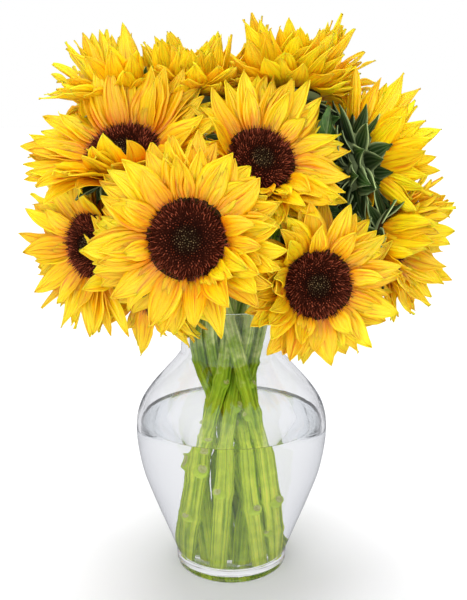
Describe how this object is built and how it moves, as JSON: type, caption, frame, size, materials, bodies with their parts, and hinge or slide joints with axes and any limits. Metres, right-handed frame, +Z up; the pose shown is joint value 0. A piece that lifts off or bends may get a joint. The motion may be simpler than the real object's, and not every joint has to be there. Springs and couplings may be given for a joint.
{
  "type": "sunflowers in a vase",
  "caption": "Cut sunflowers with yellow petals, dark discs and green stems, standing in water in a clear glass ginger-jar vase.",
  "frame": {"origin": "middle of the vase's flat foot, on the surface that the vase stands on", "axes": "+Z up the vase's axis, -Y towards the front of the bouquet, +X to the right as seen from the front"},
  "size_m": [0.316, 0.233, 0.4066],
  "materials": {
    "glass": "clear and polished",
    "water": "clear and still",
    "green": "matt, finely hairy and ribbed",
    "petals": "satin, finely ribbed",
    "disc": "matt and grainy"
  },
  "bodies": {
    "root": {"back_disc": "disc", "back_petals": "petals", "back_stem": "green", "far_right_disc": "disc", "far_right_petals": "petals", "far_right_stem": "green", "front_disc": "disc", "front_petals": "petals", "front_stem": "green", "left_disc": "disc", "left_petals": "petals", "left_stem": "green", "low_left_disc": "disc", "low_left_petals": "petals", "low_left_stem": "green", "lower_right_disc": "disc", "lower_right_petals": "petals", "lower_right_stem": "green", "right_side_disc": "disc", "right_side_petals": "petals", "right_side_stem": "green", "top_left_disc": "disc", "top_left_petals": "petals", "top_left_stem": "green", "top_middle_disc": "disc", "top_middle_petals": "petals", "top_middle_stem": "green", "top_right_disc": "disc", "top_right_petals": "petals", "top_right_stem": "green", "upper_left_disc": "disc", "upper_left_petals": "petals", "upper_left_stem": "green", "upper_middle_disc": "disc", "upper_middle_petals": "petals", "upper_middle_stem": "green", "vase": "glass", "water": "water"}
  },
  "joints": []
}
